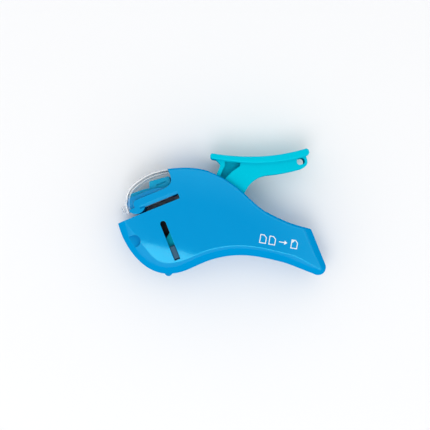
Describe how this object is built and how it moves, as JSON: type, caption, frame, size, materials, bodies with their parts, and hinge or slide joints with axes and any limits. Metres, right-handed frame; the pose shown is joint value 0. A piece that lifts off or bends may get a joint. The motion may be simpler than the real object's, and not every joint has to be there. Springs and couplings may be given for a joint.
{
  "type": "staple-free paper binder",
  "caption": "Hand-held staple-free paper binder: two-part whale-shaped shell, paper throat under a clear-covered jaw, and a squeeze lever that drives a blade carrier.",
  "frame": {"origin": "the lever's pivot axis where it meets the flat resting face of the back shell", "axes": "+X the way paper goes into the throat, +Y the way the blades travel, +Z out of the front shell's face, away from the surface it lies on"},
  "size_m": [0.1017, 0.0789, 0.0255],
  "materials": {
    "shell_blue": "glossy moulded ABS",
    "clear_plastic": "clear polystyrene",
    "block_teal": "satin moulded plastic",
    "steel": "ground steel",
    "rubber": "matte",
    "zinc_steel": "zinc plated",
    "lever_turquoise": "satin moulded plastic",
    "white_acetal": "matte acetal",
    "spring_wire": "drawn spring wire",
    "carrier_grey": "matte acetal",
    "blade_steel": "ground blade steel",
    "shoe_grey": "matte acetal",
    "finger_teal": "matte acetal"
  },
  "bodies": {
    "casing": {"front_shell": "shell_blue", "back_shell": "shell_blue", "clear_cover": "clear_plastic", "jaw_block": "block_teal", "die_plate": "steel", "throat_plate": "steel", "lever_pin": "steel", "lever_stop": "rubber", "shell_screws": "zinc_steel"},
    "lever": {"lever": "lever_turquoise", "lever_bushes": "white_acetal", "lever_spring": "spring_wire"},
    "carrier": {"blade_carrier": "carrier_grey", "flap_cutter": "blade_steel", "slit_knife": "blade_steel", "blade_screws": "zinc_steel", "cross_pin": "steel", "guide_shoes": "shoe_grey", "finger_pin": "steel", "finger_spring": "spring_wire"},
    "finger": {"folding_finger": "finger_teal"}
  },
  "joints": [
    {"name": "lever_squeeze", "type": "hinge", "parent": "casing", "child": "lever", "pos_m": [0, 0, 0.0125], "axis": [0, 0, -1], "range_deg": [0, 30], "stiffness_Nm_per_rad": 0.35, "springref_deg": -20.05, "deforming": ["lever_spring"]},
    {"name": "carrier_slide", "type": "slide", "parent": "casing", "child": "carrier", "axis": [0, 1, 0], "range_m": [0, 0.0125]},
    {"name": "finger_swing", "type": "hinge", "parent": "carrier", "child": "finger", "pos_m": [-0.0245, 0.0006, 0.0125], "axis": [0, 0, -1], "range_deg": [0, 22.01], "deforming": ["finger_spring"]}
  ],
  "couplings": [
    {"joint": "carrier_slide", "follows": "lever_squeeze", "m_per_rad": 0.023847},
    {"joint": "finger_swing", "follows": "lever_squeeze", "ratio": 0.73333}
  ]
}
